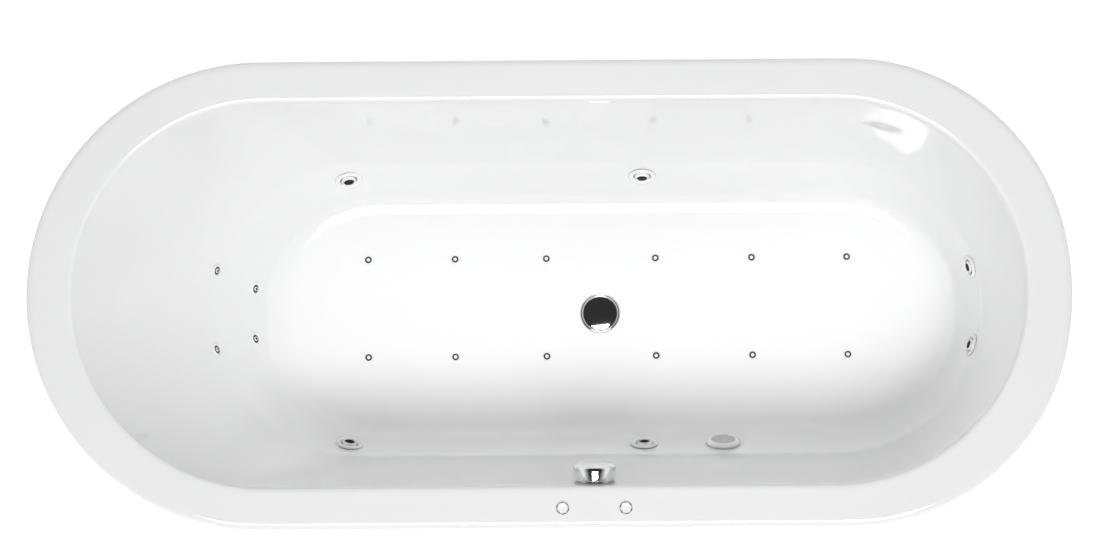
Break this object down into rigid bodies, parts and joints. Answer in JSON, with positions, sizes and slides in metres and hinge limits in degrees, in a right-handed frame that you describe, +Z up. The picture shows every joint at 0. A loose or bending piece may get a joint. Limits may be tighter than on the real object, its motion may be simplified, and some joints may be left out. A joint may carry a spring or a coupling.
{
  "type": "jetted bathtub",
  "caption": "Oval acrylic jetted bathtub with wall, back and floor jets, pop-up waste, rim buttons, pump and blower on a legged steel frame.",
  "frame": {"origin": "on the floor under the middle of the rim", "axes": "+X along the tub from the sloping head end to the foot end, +Y across it away from the rim buttons and overflow, +Z up"},
  "size_m": [1.78, 0.8, 0.6066],
  "materials": {
    "tub_shell": "glossy white acrylic inside, glass-fibre lay-up outside",
    "base_board": "raw chipboard under resin",
    "support_frame": "zinc-coated steel tube",
    "foot_pads": "matte",
    "foot_studs": "zinc-plated thread",
    "foot_lock_nuts": "zinc-plated",
    "side_jet_flanges": "glossy white",
    "foot_jet_flanges": "glossy white",
    "side_jet_gaskets": "matte",
    "foot_jet_gaskets": "matte",
    "side_jet_bodies": "moulded PVC",
    "foot_jet_bodies": "moulded PVC",
    "back_jet_flanges": "glossy white",
    "back_jet_nozzles": "glossy white",
    "back_jet_bodies": "moulded PVC",
    "air_jet_caps": "glossy white with a dark ring",
    "air_jet_bodies": "moulded ABS",
    "suction_grille": "glossy white",
    "suction_flange": "glossy white",
    "suction_body": "moulded PVC",
    "drain_flange": "polished",
    "drain_plug": "polished",
    "plug_seal": "matte",
    "drain_strainer": "polished",
    "drain_gasket": "matte",
    "drain_body": "cast, as machined",
    "waste_trap": "white polypropylene",
    "overflow_flange": "polished",
    "overflow_knob": "polished",
    "overflow_body": "black ABS",
    "overflow_pipe": "grey flexible pipe",
    "waste_cable": "black sheath",
    "button_bezels": "polished",
    "button_bodies": "black ABS",
    "jet_button": "satin chrome",
    "air_button": "satin chrome",
    "equipment_shelf": "raw chipboard",
    "pump_wet_end": "glass-filled black plastic",
    "pump_motor": "painted cast aluminium",
    "pump_fan_cover": "black plastic",
    "pump_foot": "matte",
    "air_blower": "dark grey plastic",
    "control_box": "light grey box",
    "mains_gland": "grey nylon",
    "pressure_header": "rigid white PVC",
    "pressure_pipe_back": "rigid white PVC",
    "pressure_pipe_front": "rigid white PVC",
    "pressure_pipe_foot": "rigid white PVC",
    "suction_pipe": "rigid white PVC",
    "back_jet_hoses": "flexible PVC",
    "air_manifold": "grey PVC",
    "air_supply_hose": "grey flexible PVC",
    "button_tubes": "clear vinyl",
    "jet_nozzle_back_head": "glossy white",
    "jet_nozzle_back_foot": "glossy white",
    "jet_nozzle_front_head": "glossy white",
    "jet_nozzle_front_foot": "glossy white",
    "jet_nozzle_foot_left": "glossy white",
    "jet_nozzle_foot_right": "glossy white"
  },
  "bodies": {
    "tub": {"tub_shell": "tub_shell", "base_board": "base_board", "support_frame": "support_frame", "foot_pads": "foot_pads", "foot_studs": "foot_studs", "foot_lock_nuts": "foot_lock_nuts", "side_jet_flanges": "side_jet_flanges", "foot_jet_flanges": "foot_jet_flanges", "side_jet_gaskets": "side_jet_gaskets", "foot_jet_gaskets": "foot_jet_gaskets", "side_jet_bodies": "side_jet_bodies", "foot_jet_bodies": "foot_jet_bodies", "back_jet_flanges": "back_jet_flanges", "back_jet_nozzles": "back_jet_nozzles", "back_jet_bodies": "back_jet_bodies", "air_jet_caps": "air_jet_caps", "air_jet_bodies": "air_jet_bodies", "suction_grille": "suction_grille", "suction_flange": "suction_flange", "suction_body": "suction_body", "drain_flange": "drain_flange", "drain_strainer": "drain_strainer", "drain_gasket": "drain_gasket", "drain_body": "drain_body", "waste_trap": "waste_trap", "overflow_flange": "overflow_flange", "overflow_body": "overflow_body", "overflow_pipe": "overflow_pipe", "waste_cable": "waste_cable", "button_bezels": "button_bezels", "button_bodies": "button_bodies", "equipment_shelf": "equipment_shelf", "pump_wet_end": "pump_wet_end", "pump_motor": "pump_motor", "pump_fan_cover": "pump_fan_cover", "pump_foot": "pump_foot", "air_blower": "air_blower", "control_box": "control_box", "mains_gland": "mains_gland", "pressure_header": "pressure_header", "pressure_pipe_back": "pressure_pipe_back", "pressure_pipe_front": "pressure_pipe_front", "pressure_pipe_foot": "pressure_pipe_foot", "suction_pipe": "suction_pipe", "back_jet_hoses": "back_jet_hoses", "air_manifold": "air_manifold", "air_supply_hose": "air_supply_hose", "button_tubes": "button_tubes"},
    "back_head_nozzle": {"jet_nozzle_back_head": "jet_nozzle_back_head"},
    "back_foot_nozzle": {"jet_nozzle_back_foot": "jet_nozzle_back_foot"},
    "front_head_nozzle": {"jet_nozzle_front_head": "jet_nozzle_front_head"},
    "front_foot_nozzle": {"jet_nozzle_front_foot": "jet_nozzle_front_foot"},
    "foot_left_nozzle": {"jet_nozzle_foot_left": "jet_nozzle_foot_left"},
    "foot_right_nozzle": {"jet_nozzle_foot_right": "jet_nozzle_foot_right"},
    "overflow_control": {"overflow_knob": "overflow_knob"},
    "pop_up_plug": {"drain_plug": "drain_plug", "plug_seal": "plug_seal"},
    "jet_control": {"jet_button": "jet_button"},
    "air_control": {"air_button": "air_button"}
  },
  "joints": [
    {"name": "back_head_nozzle_tilt", "type": "hinge", "parent": "tub", "child": "back_head_nozzle", "pos_m": [-0.35739, 0.23896, 0.24388], "axis": [0.9836, 0.0938, -0.1539], "range_deg": [-12, 12]},
    {"name": "back_foot_nozzle_tilt", "type": "hinge", "parent": "tub", "child": "back_foot_nozzle", "pos_m": [0.167, 0.24263, 0.244], "axis": [1, 0, 0], "range_deg": [-12, 12]},
    {"name": "front_head_nozzle_tilt", "type": "hinge", "parent": "tub", "child": "front_head_nozzle", "pos_m": [-0.35739, -0.23896, 0.24388], "axis": [0.9836, -0.0938, -0.1539], "range_deg": [-12, 12]},
    {"name": "front_foot_nozzle_tilt", "type": "hinge", "parent": "tub", "child": "front_foot_nozzle", "pos_m": [0.167, -0.24263, 0.244], "axis": [1, 0, 0], "range_deg": [-12, 12]},
    {"name": "foot_left_nozzle_tilt", "type": "hinge", "parent": "tub", "child": "foot_left_nozzle", "pos_m": [0.74986, 0.07066, 0.27426], "axis": [-0.1868, 0.9463, 0.2638], "range_deg": [-12, 12]},
    {"name": "foot_right_nozzle_tilt", "type": "hinge", "parent": "tub", "child": "foot_right_nozzle", "pos_m": [0.74986, -0.07066, 0.27426], "axis": [0.1868, 0.9463, -0.2638], "range_deg": [-12, 12]},
    {"name": "overflow_turn", "type": "hinge", "parent": "tub", "child": "overflow_control", "pos_m": [0.075, -0.31719, 0.544], "axis": [0, 0.9756, 0.2197], "range_deg": [0, 90]},
    {"name": "plug_lift", "type": "slide", "parent": "tub", "child": "pop_up_plug", "axis": [0, 0, 1], "range_m": [0, 0.0121]},
    {"name": "jet_button_press", "type": "slide", "parent": "tub", "child": "jet_control", "axis": [0, 0, -1], "range_m": [0, 0.004], "stiffness_N_per_m": 600, "springref_m": -0.002},
    {"name": "air_button_press", "type": "slide", "parent": "tub", "child": "air_control", "axis": [0, 0, -1], "range_m": [0, 0.004], "stiffness_N_per_m": 600, "springref_m": -0.002}
  ],
  "couplings": [
    {"joint": "plug_lift", "follows": "overflow_turn", "m_per_rad": 0.0076}
  ]
}
